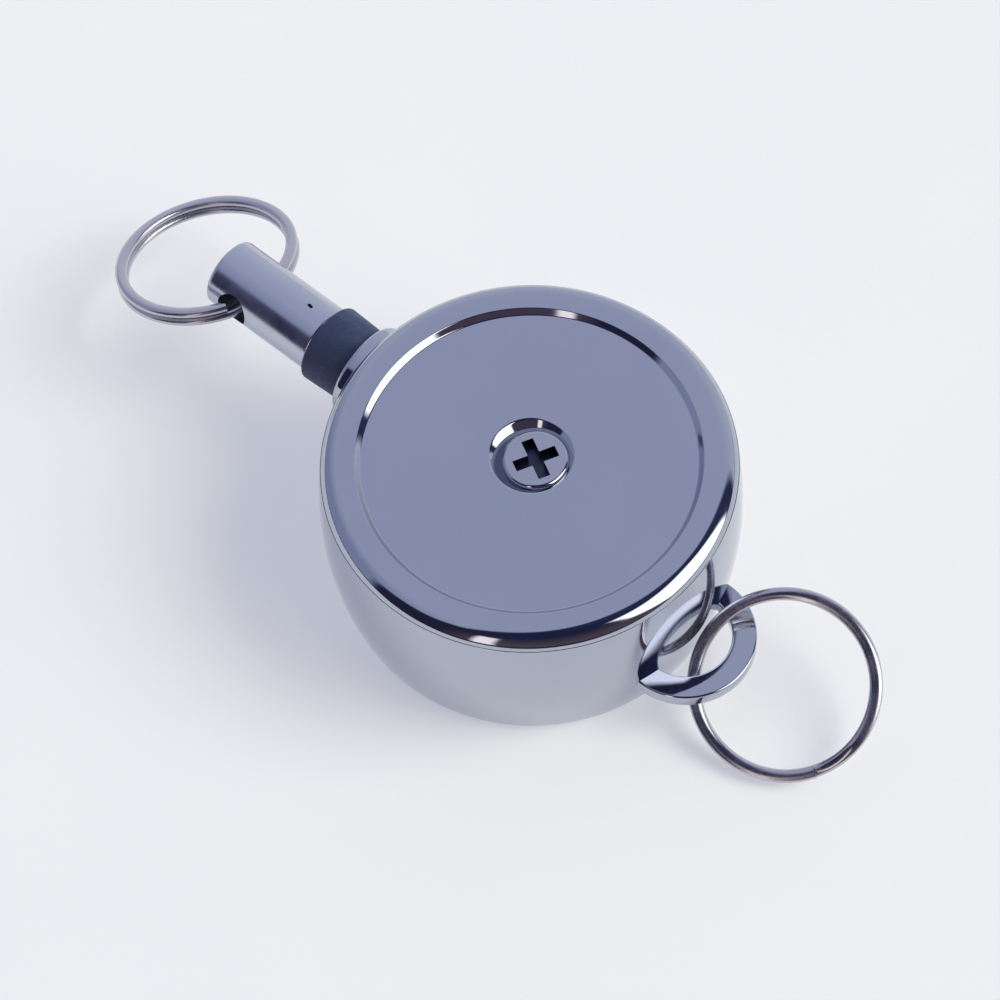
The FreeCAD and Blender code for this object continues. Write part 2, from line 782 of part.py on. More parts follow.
def wire_section(width, bottom, top):
    """The flattened wire's cross-section, rounded at its corners."""
    left = "ring_mean_radius - " + width + " / 2"
    right = "ring_mean_radius + " + width + " / 2"
    soft = "ring_wire_rounding"
    return [
        (left + " + " + soft, bottom),
        (right + " - " + soft, bottom, soft),
        (right, bottom + " + " + soft),
        (right, top + " - " + soft, soft),
        (right + " - " + soft, top),
        (left + " + " + soft, top, soft),
        (left, top + " - " + soft),
        (left, bottom + " + " + soft, soft),
    ]


def make_split_ring(label, width, coil):
    """Two flat coils of one wire, joined by a short ramp; the ring's axis is its own Z."""
    body = document.addObject("PartDesign::Body", label)
    body.Label = label
    half_gap = "ring_coil_gap / 2"
    lower = wire_section(width, "-" + coil + " - " + half_gap, "-" + half_gap)
    upper = wire_section(width, half_gap, coil + " + " + half_gap)
    turned(body, "LowerCoil", lower, angle="360 - ring_jog_angle")
    turned(body, "UpperCoil", upper, angle="360 - ring_jog_angle")
    section = sketch_on(body, "RampOutline", "XZ_Plane", turn=-value("ring_jog_angle"))
    draw_outline(section, lower)
    ramp = body.newObject("PartDesign::AdditiveHelix", "Ramp")
    ramp.Profile = section
    ramp.ReferenceAxis = (section, ["V_Axis"])
    ramp.Mode = "height-turns-growth"
    bind(ramp, "Height", coil + " + ring_coil_gap")
    bind(ramp, "Turns", "ring_jog_angle / 360")
    document.recompute()
    return body


def place_ring(ring, name, turn):
    """Put a ring's centre at the place given in the spreadsheet, and turn it."""
    centre = [value(name + part) for part in ("_across", "_aside", "_height")]
    ring.Placement = FreeCAD.Placement(FreeCAD.Vector(*centre), turn)
    for axis, part in (("x", "_across"), ("y", "_aside"), ("z", "_height")):
        bind(ring, "Placement.Base." + axis, name + part)


def make_key_ring():
    """The split ring through the end fitting, cocked in its hole as it hangs."""
    ring = make_split_ring("key_ring", "key_wire_width", "key_coil_height")
    droop = FreeCAD.Rotation(FreeCAD.Vector(0, 1, 0), -value("key_ring_droop"))
    tilt = FreeCAD.Rotation(FreeCAD.Vector(1, 0, 0), -value("key_ring_tilt"))
    place_ring(ring, "key_ring", droop * tilt)
    return ring


def make_anchor_ring():
    """The split ring through the lug, lying against the table."""
    ring = make_split_ring("anchor_ring", "anchor_wire_width", "anchor_coil_height")
    heading = math.radians(value("anchor_ring_heading"))
    lean_axis = FreeCAD.Vector(-math.sin(heading), math.cos(heading), 0)
    place_ring(ring, "anchor_ring", FreeCAD.Rotation(lean_axis, value("anchor_ring_lean")))
    return ring


def make_parts():
    """Every piece of the reel, from the case outwards."""
    return [
        make_case_shell(),
        make_front_cover(),
        make_cover_screw(),
        make_outlet_bushing(),
        make_centre_post(),
        make_washer("lower_thrust_washer", "floor_thickness",
                    "post_arbor_radius + washer_bore_clearance", "lower_washer_radius"),
        make_washer("upper_thrust_washer", DRUM_TOP + " + end_play",
                    "post_journal_radius + washer_bore_clearance", "upper_washer_radius"),
        make_power_spring(),
        make_cord_drum(),
        make_drum_bush(),
        make_spring_cover(),
        make_cord_coils(),
        make_drum_crimp(),
        make_cord_run(),
        make_rubber_bumper(),
        make_end_fitting(),
        make_end_crimp(),
        make_key_ring(),
        make_anchor_ring(),
    ]


def check_document(parts):
    """Stop if any object failed to recompute or any piece has no sound shape."""
    for item in document.Objects:
        if "Invalid" in item.State or "Error" in item.State:
            raise RuntimeError("%s is %s" % (item.Name, item.State))
    for part in parts:
        if part.Shape.isNull() or not part.Shape.isValid() or len(part.Shape.Solids) != 1:
            raise RuntimeError("%s has no single sound solid" % part.Label)


parts = make_parts()
document.recompute()
check_document(parts)
os.makedirs("parts", exist_ok=True)
for part in parts:
    part.Shape.exportStep("parts/%s.step" % part.Label)
    print("%-22s %9.2f mm3" % (part.Label, part.Shape.Volume))
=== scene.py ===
import json
import math

import bmesh
import bpy
from mathutils import Matrix, Vector


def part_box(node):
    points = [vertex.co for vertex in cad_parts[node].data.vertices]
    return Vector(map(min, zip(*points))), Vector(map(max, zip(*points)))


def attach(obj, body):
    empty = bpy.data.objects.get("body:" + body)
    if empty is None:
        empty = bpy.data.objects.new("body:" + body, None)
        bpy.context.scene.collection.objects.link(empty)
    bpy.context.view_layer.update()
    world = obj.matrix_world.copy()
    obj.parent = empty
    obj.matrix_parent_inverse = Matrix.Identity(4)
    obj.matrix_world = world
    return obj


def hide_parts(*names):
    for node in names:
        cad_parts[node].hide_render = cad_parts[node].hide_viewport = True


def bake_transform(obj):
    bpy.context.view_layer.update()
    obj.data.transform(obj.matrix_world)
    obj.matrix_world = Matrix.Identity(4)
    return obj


# Visual model of a retractable badge reel: polished round case with a dimpled cover and screw,
# lug with a split ring, cord outlet with a rubber bumper, and an end fitting with a split ring.

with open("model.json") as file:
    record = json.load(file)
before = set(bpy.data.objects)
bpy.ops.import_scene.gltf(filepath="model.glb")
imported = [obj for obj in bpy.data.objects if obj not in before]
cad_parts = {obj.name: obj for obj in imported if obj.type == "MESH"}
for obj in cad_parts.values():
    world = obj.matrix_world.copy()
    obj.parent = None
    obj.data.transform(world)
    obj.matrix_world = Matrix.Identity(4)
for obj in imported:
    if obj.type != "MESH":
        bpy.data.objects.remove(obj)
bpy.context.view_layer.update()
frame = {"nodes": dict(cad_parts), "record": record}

MM = 0.001
UP = Vector((0, 0, 1))

# Driving sizes, read from the CAD frame.
case_low, case_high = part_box("case_shell")
cover_low, cover_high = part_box("front_cover")
screw_low, screw_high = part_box("cover_screw")
bumper_low, bumper_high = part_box("rubber_bumper")
fitting_low, fitting_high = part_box("end_fitting")
bushing_low, bushing_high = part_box("outlet_bushing")
rim_radius = cover_high.x
top = cover_high.z
seam = case_high.z
belly_radius = case_high.y
lug_tip = case_high.x
boss_face = -case_low.x
cord_height = (fitting_low.z + fitting_high.z) / 2
fitting_radius = (fitting_high.z - fitting_low.z) / 2
fitting_inner = -fitting_high.x
fitting_outer = -fitting_low.x
fitting_length = fitting_outer - fitting_inner

SEGMENTS = 192
SHARP_ANGLE = math.radians(32)
MERGE_DISTANCE = 1e-8
view_azimuth = math.radians(42.6)


def image_shift(right, away):
    """A level shift given towards the main view's right and away from its camera."""
    return Matrix.Rotation(view_azimuth, 3, "Z") @ Vector((right, away, 0))


# Mesh building

def rounded_profile(corners, steps=8):
    """A closed outline in (radius, height), with each corner rounded by its third item."""
    outline = []
    count = len(corners)
    for number, corner in enumerate(corners):
        point = Vector(corner[:2])
        radius = corner[2] if len(corner) > 2 else 0.0
        if radius <= 0:
            outline.append(point)
            continue
        before = (Vector(corners[number - 1][:2]) - point).normalized()
        after = (Vector(corners[(number + 1) % count][:2]) - point).normalized()
        half_angle = before.angle(after) / 2
        setback = radius / math.tan(half_angle)
        centre = point + (before + after).normalized() * (radius / math.sin(half_angle))
        first = point + before * setback - centre
        last = point + after * setback - centre
        sweep = first.angle_signed(last)
        # A point just before and after the rounding keeps the flats beside it flat in shading.
        support = 0.25 * radius
        outline.append(point + before * (setback + support))
        for step in range(steps + 1):
            turn = Matrix.Rotation(-sweep * step / steps, 2)
            outline.append(centre + turn @ first)
        outline.append(point + after * (setback + support))
    return outline


def make_object(name, vertices, faces, material):
    """A smooth-shaded mesh object with creases kept where faces meet sharply."""
    mesh = bpy.data.meshes.new(name)
    mesh.from_pydata(vertices, [], faces)
    mesh.validate()
    builder = bmesh.new()
    builder.from_mesh(mesh)
    bmesh.ops.remove_doubles(builder, verts=builder.verts, dist=MERGE_DISTANCE)
    bmesh.ops.recalc_face_normals(builder, faces=builder.faces)
    builder.to_mesh(mesh)
    builder.free()
    mesh.materials.append(material)
    finish_shading(mesh)
    piece = bpy.data.objects.new(name, mesh)
    bpy.context.scene.collection.objects.link(piece)
    weights = piece.modifiers.new("Normals", "WEIGHTED_NORMAL")
    weights.keep_sharp = True
    return piece


def finish_shading(mesh):
    """Smooth shading with creases at steep edges."""
    mesh.polygons.foreach_set("use_smooth", [True] * len(mesh.polygons))
    mesh.set_sharp_from_angle(angle=SHARP_ANGLE)


def lathe_mesh(outline, segments):
    """Vertices and faces of a closed outline turned about Z."""
    vertices = []
    rings = []
    for radius, height in outline:
        if radius < MERGE_DISTANCE:
            rings.append([len(vertices)] * segments)
            vertices.append((0, 0, height))
            continue
        rings.append([len(vertices) + step for step in range(segments)])
        for step in range(segments):
            angle = 2 * math.pi * step / segments
            vertices.append((radius * math.cos(angle), radius * math.sin(angle), height))
    faces = []
    for number, ring in enumerate(rings):
        following = rings[(number + 1) % len(rings)]
        for step in range(segments):
            along = (step + 1) % segments
            corners = [ring[step], ring[along], following[along], following[step]]
            distinct = [v for i, v in enumerate(corners) if v not in corners[:i]]
            if len(distinct) > 2:
                faces.append(distinct)
    return vertices, faces


def lathe(name, corners, material, placement=None, steps=8, segments=SEGMENTS):
    """A turned piece; placement moves it from its own Z axis into the frame."""
    vertices, faces = lathe_mesh(rounded_profile(corners, steps), segments)
    if placement is not None:
        vertices = [tuple(placement @ Vector(v)) for v in vertices]
    return make_object(name, vertices, faces, material)


def sweep(name, path, frames, section, material, closed=False):
    """Carry a section along a path; frames gives each point's two section axes."""
    vertices = []
    faces = []
    width = len(section)
    for point, (across, up) in zip(path, frames):
        vertices += [tuple(point + across * a + up * b) for a, b in section]
    rows = len(path)
    last_row = rows if closed else rows - 1
    for row in range(last_row):
        for step in range(width):
            along = (step + 1) % width
            next_row = (row + 1) % rows
            faces.append((row * width + step, row * width + along,
                          next_row * width + along, next_row * width + step))
    if not closed:
        faces.append(list(range(width))[::-1])
        faces.append([(rows - 1) * width + step for step in range(width)])
    return make_object(name, vertices, faces, material)


def block(name, floor_outline, roof_outline, material):
    """A closed block between two outlines with the same number of points."""
    vertices = [tuple(point) for point in (*floor_outline, *roof_outline)]
    count = len(floor_outline)
    faces = [tuple(range(count))[::-1], tuple(range(count, 2 * count))]
    for step in range(count):
        along = (step + 1) % count
        faces.append((step, along, count + along, count + step))
    return make_object(name, vertices, faces, material)


def cut(piece, *tools):
    """Subtract closed meshes from a piece and remove the tools."""
    for tool in tools:
        modifier = piece.modifiers.new("Cut", "BOOLEAN")
        modifier.operation = "DIFFERENCE"
        modifier.solver = "EXACT"
        modifier.material_mode = "TRANSFER"
        modifier.object = tool
    apply_modifiers(piece)
    for tool in tools:
        bpy.data.objects.remove(tool)
    return piece


def apply_modifiers(piece):
    """Make the booleans permanent and drop the tools' own normals, then shade the result again."""
    if "Normals" in piece.modifiers:
        piece.modifiers.remove(piece.modifiers["Normals"])
    graph = bpy.context.evaluated_depsgraph_get()
    mesh = bpy.data.meshes.new_from_object(piece.evaluated_get(graph))
    piece.modifiers.clear()
    piece.data = mesh
    if "custom_normal" in mesh.attributes:
        mesh.attributes.remove(mesh.attributes["custom_normal"])
    finish_shading(mesh)


def cord_line(distance):
    """Placement of a turned piece whose own Z runs outwards along the cord."""
    turn = Matrix.Rotation(math.radians(-90), 4, "Y")
    return Matrix.Translation((-distance, 0, cord_height)) @ turn


# Materials

def new_material(name):
    material = bpy.data.materials.new(name)
    material.use_nodes = True
    nodes = material.node_tree.nodes
    shader = nodes["Principled BSDF"]
    return material, nodes, material.node_tree.links, shader


def noise(nodes, links, scale, detail=4.0, source=None, roughness=0.55, distortion=0.0):
    texture = nodes.new("ShaderNodeTexNoise")
    texture.inputs["Scale"].default_value = scale
    texture.inputs["Detail"].default_value = detail
    texture.inputs["Roughness"].default_value = roughness
    texture.inputs["Distortion"].default_value = distortion
    if source is not None:
        links.new(source, texture.inputs["Vector"])
    return texture.outputs["Fac"]


def spread(nodes, links, value, low, high, out_low, out_high):
    """Map a value's range to another, clamped."""
    mapping = nodes.new("ShaderNodeMapRange")
    mapping.inputs["From Min"].default_value = low
    mapping.inputs["From Max"].default_value = high
    mapping.inputs["To Min"].default_value = out_low
    mapping.inputs["To Max"].default_value = out_high
    links.new(value, mapping.inputs["Value"])
    return mapping.outputs["Result"]


def mix_colour(nodes, links, share, first, second):
    """Mix two colours, each a socket or three numbers."""
    mixer = nodes.new("ShaderNodeMix")
    mixer.data_type = "RGBA"
    for slot, value in (("A", first), ("B", second)):
        if isinstance(value, bpy.types.NodeSocket):
            links.new(value, mixer.inputs[slot])
        else:
            mixer.inputs[slot].default_value = (*value, 1)
    links.new(share, mixer.inputs["Factor"])
    return mixer.outputs["Result"]


def calculate(nodes, links, operation, *values):
    """A maths node on sockets or numbers."""
    node = nodes.new("ShaderNodeMath")
    node.operation = operation
    for slot, value in zip(node.inputs, values):
        if isinstance(value, bpy.types.NodeSocket):
            links.new(value, slot)
        else:
            slot.default_value = value
    return node.outputs[0]


def object_coordinates(nodes):
    return nodes.new("ShaderNodeTexCoord").outputs["Object"]


def stretched(nodes, links, source, scale):
    """Coordinates scaled on each axis, which stretches a pattern the other way."""
    mapping = nodes.new("ShaderNodeMapping")
    mapping.inputs["Scale"].default_value = scale
    links.new(source, mapping.inputs["Vector"])
    return mapping.outputs["Vector"]


def add_bump(nodes, links, shader, height, strength, distance):
    bump = nodes.new("ShaderNodeBump")
    bump.inputs["Strength"].default_value = strength
    bump.inputs["Distance"].default_value = distance
    links.new(height, bump.inputs["Height"])
    links.new(bump.outputs["Normal"], shader.inputs["Normal"])


def polished_metal(name, colour, worn, roughness=0.05, grain=(1, 1, 1)):
    """Plated, polished metal: faint smears, worn patches and hairline scratches."""
    material, nodes, links, shader = new_material(name)
    place = object_coordinates(nodes)
    shader.inputs["Metallic"].default_value = 1.0
    clouds = noise(nodes, links, 90, 5.0, place)
    wear = spread(nodes, links, clouds, 0.35, 0.75, 0.0, 0.6)
    links.new(mix_colour(nodes, links, wear, colour, worn), shader.inputs["Base Color"])
    smears = noise(nodes, links, 240, 6.0, place, 0.6, 0.4)
    links.new(spread(nodes, links, smears, 0.3, 0.8, roughness * 0.6, roughness * 1.9),
              shader.inputs["Roughness"])
    hairlines = noise(nodes, links, 3000, 3.0, stretched(nodes, links, place, grain))
    add_bump(nodes, links, shader, hairlines, 0.05, 0.00001)
    return material


def turned_metal(name, colour, roughness=0.28, tarnish=(0.3, 0.25, 0.2)):
    """Machined metal with fine lathe rings and slight tarnish."""
    material, nodes, links, shader = new_material(name)
    place = object_coordinates(nodes)
    shader.inputs["Metallic"].default_value = 1.0
    rings = noise(nodes, links, 1500, 3.0, stretched(nodes, links, place, (0.15, 0.15, 4)))
    patches = spread(nodes, links, noise(nodes, links, 300, 5.0, place), 0.45, 0.8, 0.0, 0.6)
    links.new(mix_colour(nodes, links, patches, colour, tarnish), shader.inputs["Base Color"])
    links.new(spread(nodes, links, rings, 0.3, 0.7, roughness * 0.7, roughness * 1.4),
              shader.inputs["Roughness"])
    add_bump(nodes, links, shader, rings, 0.25, 0.00002)
    return material


def moulded_plastic(name, colour, roughness=0.42, grain_scale=2500):
    """Moulded plastic with a fine grain and faint flow marks."""
    material, nodes, links, shader = new_material(name)
    place = object_coordinates(nodes)
    flow = spread(nodes, links, noise(nodes, links, 120, 4.0, place, 0.5, 0.8), 0.3, 0.7, 0.0, 1.0)
    darker = tuple(0.8 * part for part in colour)
    links.new(mix_colour(nodes, links, flow, colour, darker), shader.inputs["Base Color"])
    grain = noise(nodes, links, grain_scale, 3.0, place)
    links.new(spread(nodes, links, grain, 0.3, 0.7, roughness * 0.85, roughness * 1.2),
              shader.inputs["Roughness"])
    add_bump(nodes, links, shader, grain, 0.3, 0.00002)
    return material


def bumper_rubber():
    """Blue-black moulded rubber: matte, dusty in patches and finely pitted."""
    material, nodes, links, shader = new_material("bumper_rubber")
    place = object_coordinates(nodes)
    clouds = noise(nodes, links, 420, 6.0, place, 0.62, 0.5)
    dust = spread(nodes, links, clouds, 0.48, 0.78, 0.0, 0.55)
    links.new(mix_colour(nodes, links, dust, (0.022, 0.036, 0.085), (0.075, 0.10, 0.18)),
              shader.inputs["Base Color"])
    pits = noise(nodes, links, 3800, 4.0, place)
    links.new(spread(nodes, links, pits, 0.3, 0.75, 0.55, 0.8), shader.inputs["Roughness"])
    shader.inputs["Sheen Weight"].default_value = 0.25
    shader.inputs["Sheen Tint"].default_value = (0.55, 0.65, 1.0, 1)
    add_bump(nodes, links, shader, pits, 0.45, 0.00004)
    return material


def coated_cord():
    """Nylon-coated wire rope: the twisted strands show through the coating."""
    material, nodes, links, shader = new_material("coated_cord")
    place = object_coordinates(nodes)
    wave = nodes.new("ShaderNodeTexWave")
    wave.inputs["Scale"].default_value = 700
    wave.inputs["Distortion"].default_value = 1.5
    links.new(place, wave.inputs["Vector"])
    strands = wave.outputs["Fac"]
    links.new(mix_colour(nodes, links, strands, (0.02, 0.02, 0.024), (0.07, 0.07, 0.08)),
              shader.inputs["Base Color"])
    links.new(spread(nodes, links, noise(nodes, links, 900, 3.0, place), 0.3, 0.7, 0.22, 0.4),
              shader.inputs["Roughness"])
    shader.inputs["Coat Weight"].default_value = 0.4
    add_bump(nodes, links, shader, strands, 0.4, 0.00003)
    return material


case_metal = polished_metal("case_metal", (0.44, 0.475, 0.555), (0.48, 0.51, 0.585), 0.05)
cover_metal = polished_metal("cover_metal", (0.44, 0.475, 0.555), (0.47, 0.50, 0.58), 0.055)
fitting_metal = polished_metal("fitting_metal", (0.50, 0.53, 0.62), (0.55, 0.58, 0.66), 0.19,
                               grain=(0.2, 3, 3))
bore_metal = polished_metal("bore_metal", (0.42, 0.43, 0.50), (0.30, 0.30, 0.34), 0.45)
ring_metal = polished_metal("ring_metal", (0.54, 0.53, 0.59), (0.60, 0.59, 0.62), 0.23)
screw_metal = polished_metal("screw_metal", (0.47, 0.49, 0.56), (0.60, 0.61, 0.65), 0.09)
# Near-black for the screw's cross recess and the fitting's punch mark: painted shade in these
# hollows, not the metal's own colour.
recess_painted_shade = polished_metal("recess_painted_shade", (0.05, 0.06, 0.10), (0.10, 0.11, 0.16), 0.25)
eyelet_metal = turned_metal("eyelet_metal", (0.50, 0.42, 0.24), 0.22)
rubber = bumper_rubber()
cord_material = coated_cord()


# Case

# Every size below that is not read from the frame is in metres, as a number of millimetres.
floor_thickness = 1.6 * MM
cavity_radius = 14.2 * MM
cavity_rounding = 0.5 * MM
belly_height = 9.4 * MM
foot_radius = 15.06 * MM
foot_rounding = 1.2 * MM
barrel_upper_curve = 52 * MM
barrel_lower_curve = 35 * MM
seam_break = 0.015 * MM


def bulge(start, end, radius, count):
    """Points strictly between two ends of an arc that bulges away from the axis."""
    chord = end - start
    outwards = Vector((chord.y, -chord.x)).normalized()
    centre = (start + end) / 2 - outwards * math.sqrt(radius ** 2 - (chord.length / 2) ** 2)
    first = start - centre
    sweep_angle = first.angle_signed(end - centre)
    return [centre + Matrix.Rotation(-sweep_angle * step / count, 2) @ first
            for step in range(1, count)]


def make_case_shell():
    """The deep cup, closed all round, with its barrel-shaped side."""
    foot = Vector((foot_radius, 0))
    belly = Vector((belly_radius, belly_height))
    rim = Vector((rim_radius, seam))
    lower = bulge(foot, belly, barrel_lower_curve, 12)
    upper = bulge(belly, rim, barrel_upper_curve, 8)
    corners = [(0, 0), (foot_radius, 0, foot_rounding)]
    # The lower arc's first point is left out: the foot's rounding takes its place.
    corners += [tuple(point) for point in lower[1:]]
    corners += [tuple(belly)]
    corners += [tuple(point) for point in upper]
    corners += [
        (rim_radius, seam, seam_break),
        (cavity_radius, seam, seam_break),
        (cavity_radius, floor_thickness, cavity_rounding),
        (0, floor_thickness),
    ]
    return lathe("case_cup", corners, case_metal, segments=384)


lug_centre = 15.4 * MM
lug_bottom = 4.4 * MM
lug_thickness = 1.3 * MM
lug_hole_radius = 3.6 * MM
lug_rounding = 0.16 * MM
lug_root = 14.6 * MM
lug_turn_steps = 96
lug_leg_steps = 4


def rounded_rectangle(half_width, half_height, radius, steps=6):
    """Points round a rectangle with rounded corners, counterclockwise."""
    points = []
    for quarter, (side_x, side_y) in enumerate(((1, 1), (-1, 1), (-1, -1), (1, -1))):
        for step in range(steps + 1):
            angle = math.radians(90 * quarter + 90 * step / steps)
            points.append((side_x * (half_width - radius) + radius * math.cos(angle),
                           side_y * (half_height - radius) + radius * math.sin(angle)))
    return points


def make_lug():
    """The half ring on the case's side: straight roots inside the wall, then a half turn."""
    outer_radius = lug_tip - lug_centre
    middle_radius = (outer_radius + lug_hole_radius) / 2
    half_band = (outer_radius - lug_hole_radius) / 2
    height = lug_bottom + lug_thickness / 2
    path = []
    frames = []
    for side in (-1, 1):
        leg = [lug_root + (lug_centre - lug_root) * step / lug_leg_steps
               for step in range(lug_leg_steps)]
        if side > 0:
            leg.reverse()
            for step in range(lug_turn_steps + 1):
                angle = math.pi * (step / lug_turn_steps - 0.5)
                outwards = Vector((math.cos(angle), math.sin(angle), 0))
                path.append(Vector((lug_centre, 0, height)) + outwards * middle_radius)
                frames.append((outwards, UP))
        for across in leg:
            path.append(Vector((across, side * middle_radius, height)))
            frames.append((Vector((0, side, 0)), UP))
    section = rounded_rectangle(half_band, lug_thickness / 2, lug_rounding)
    return sweep("case_lug", path, frames, section, case_metal)


boss_radius = 4.0 * MM
boss_root = 14.6 * MM
boss_bore = 2.0 * MM
boss_rounding = 0.35 * MM
boss_mouth_rounding = 0.15 * MM


def make_boss():
    """The short tube round the cord outlet."""
    length = boss_face - boss_root
    corners = [
        (boss_bore, 0, 0),
        (boss_radius, 0, 0),
        (boss_radius, length, boss_rounding),
        (boss_bore, length, boss_mouth_rounding),
    ]
    return lathe("case_boss", corners, case_metal, cord_line(boss_root))


# Cover and screw

recess_radius = 13.3 * MM
recess_depth = 0.45 * MM
recess_slope = 0.4 * MM
recess_lip = 0.01 * MM
recess_lip_rounding = 0.14 * MM
recess_foot_rounding = 0.2 * MM
rim_rounding = 1.4 * MM
crown_radius = 18 * MM
crown_tilt = math.radians(2)
crown_middle = 13.97 * MM
dimple_radius = 3.25 * MM
dimple_depth = 1.6 * MM
dimple_rounding = 0.3 * MM
dish_depth = 1.2 * MM
dish_slope = 1.25 * MM
dish_floor_rounding = 0.3 * MM
dimple_offset = (0.2 * MM, 0.42 * MM)
cover_thickness = 1.2 * MM
spigot_radius = 14.15 * MM
spigot_wall = 0.9 * MM
screw_hole_radius = 1.65 * MM


def rim_crown():
    """The cover's rolled rim, from its side to the recess: a rounding, then a crowned top."""
    def crown_point(tilt):
        return (crown_middle + crown_radius * math.sin(tilt),
                top - crown_radius * (1 - math.cos(tilt)))

    points = []
    crown_end = Vector(crown_point(crown_tilt))
    rounding_centre = Vector((rim_radius - rim_rounding, 0))
    shoulder = rounding_centre.x + rim_rounding * math.sin(crown_tilt)
    drop = (shoulder - crown_end.x) * math.tan(crown_tilt)
    rounding_centre.y = crown_end.y - drop - rim_rounding * math.cos(crown_tilt)
    steps = 16
    for step in range(steps + 1):
        tilt = math.pi / 2 + (crown_tilt - math.pi / 2) * step / steps
        points.append((rounding_centre.x + rim_rounding * math.sin(tilt),
                       rounding_centre.y + rim_rounding * math.cos(tilt)))
    steps = 10
    for step in range(steps + 1):
        points.append(crown_point(crown_tilt - 2 * crown_tilt * step / steps))
    return points


def make_cover():
    """The round cap with its rolled rim, shallow recess and central dimple."""
    disc = top - recess_depth
    pan = disc - dish_depth
    under = disc - dimple_depth - cover_thickness
    pocket_radius = dimple_radius + cover_thickness
    corners = [
        (screw_hole_radius, under),
        (pocket_radius, under, dish_floor_rounding),
        (pocket_radius, disc - cover_thickness),
        (spigot_radius - spigot_wall, disc - cover_thickness),
        (spigot_radius - spigot_wall, cover_low.z),
        (spigot_radius, cover_low.z),
        (spigot_radius, seam),
        (rim_radius, seam, seam_break),
    ]
    corners += rim_crown()
    corners += [
        (recess_radius, top - recess_lip, recess_lip_rounding),
        (recess_radius - recess_slope, disc, recess_foot_rounding),
        (dimple_radius, disc, dimple_rounding),
        (dimple_radius - dish_slope, pan, dish_floor_rounding),
        (screw_hole_radius, pan),
    ]
    cover = lathe("front_cap", corners, cover_metal, steps=14, segments=384)
    # The dimple's wall and underside sit a little off the rim's axis.
    reach = pocket_radius + 0.1 * MM
    for vertex in cover.data.vertices:
        if vertex.co.xy.length < reach:
            vertex.co += image_shift(*dimple_offset)
    return cover


cross_span = 3.5 * MM
cross_width = 0.95 * MM
cross_depth = 1.0 * MM
cross_floor_scale = 0.9
cross_mouth_scale = 1.1
cross_angle = math.radians(62.6)
head_radius = 2.55 * MM
head_rounding = 0.3 * MM
head_foot_rounding = 0.1 * MM
head_offset = (0.5 * MM, 0.2 * MM)
shank_radius = 1.46 * MM
shank_rounding = 0.3 * MM
shank_overlap = 0.3 * MM


def make_screw():
    """The pan head screw with its tapered cross recess; the head sits a little off its dimple."""
    shoulder = top - recess_depth - dimple_depth
    shank = lathe("screw", [
        (0, screw_low.z),
        (shank_radius, screw_low.z, shank_rounding),
        (shank_radius, shoulder + shank_overlap),
        (0, shoulder + shank_overlap),
    ], screw_metal, steps=6, segments=96)
    aside = image_shift(*head_offset)
    head = lathe("screw_head", [
        (0, shoulder),
        (head_radius, shoulder, head_foot_rounding),
        (head_radius, screw_high.z, head_rounding),
        (0, screw_high.z),
    ], screw_metal, Matrix.Translation(aside), steps=10)
    join(shank, head)
    return cut(shank, cross_tool(aside))


def join(piece, other):
    """Fuse another closed mesh into a piece and remove the other."""
    modifier = piece.modifiers.new("Join", "BOOLEAN")
    modifier.operation = "UNION"
    modifier.solver = "EXACT"
    modifier.object = other
    apply_modifiers(piece)
    bpy.data.objects.remove(other)


def cross_tool(middle):
    """A plus-shaped block for the recess, a little smaller at its floor."""
    arm = cross_span / 2
    half = cross_width / 2
    quarter = ((half, -half), (arm, -half), (arm, half))
    floor_level = (screw_high.z - cross_depth, cross_floor_scale)
    mouth_level = (screw_high.z + cross_depth, cross_mouth_scale)
    outlines = []
    for height, scale in (floor_level, mouth_level):
        outline = []
        for turn in range(4):
            spin = Matrix.Rotation(cross_angle + turn * math.pi / 2, 3, "Z")
            outline += [spin @ Vector((x * scale, y * scale, height)) + middle for x, y in quarter]
        outlines.append(outline)
    # The block's near-black finish passes to the recess's cut faces as painted shade.
    return block("cross", *outlines, recess_painted_shade)


# Cord end

eyelet_hole_radius = 0.75 * MM
eyelet_rounding = 0.5 * MM


def make_bushing():
    """The eyelet in the boss, rounded at both ends where the cord rubs."""
    length = bushing_high.x - bushing_low.x
    corners = [
        (eyelet_hole_radius, 0, eyelet_rounding),
        (boss_bore, 0),
        (boss_bore, length),
        (eyelet_hole_radius, length, eyelet_rounding),
    ]
    return lathe("outlet_eyelet", corners, eyelet_metal, cord_line(-bushing_high.x), segments=128)


bumper_taper = 0.15 * MM
bumper_hole_radius = 0.55 * MM
bumper_inner_rounding = 0.22 * MM
bumper_outer_rounding = 0.2 * MM


def make_bumper():
    """The tapered rubber sleeve."""
    start = -bumper_high.x
    length = bumper_high.x - bumper_low.x
    outer_radius = (bumper_high.z - bumper_low.z) / 2
    corners = [
        (bumper_hole_radius, 0),
        (outer_radius - bumper_taper, 0, bumper_inner_rounding),
        (outer_radius, length, bumper_outer_rounding),
        (bumper_hole_radius, length),
    ]
    return lathe("bumper_sleeve", corners, rubber, cord_line(start))


cross_hole_radius = 1.42 * MM
cross_hole_setback = 2.8 * MM
cross_hole_tilt = math.radians(8)
fitting_bore = 1.2 * MM
fitting_bore_depth = 5.6 * MM
fitting_inner_rounding = 0.3 * MM
fitting_outer_rounding = 0.35 * MM
fitting_bands = 30
punch_distance = 2.05 * MM
punch_side = 0.49 * MM
punch_radius = 0.14 * MM
punch_run = (0.12 * MM, -0.02 * MM)
punch_depth = 0.3 * MM


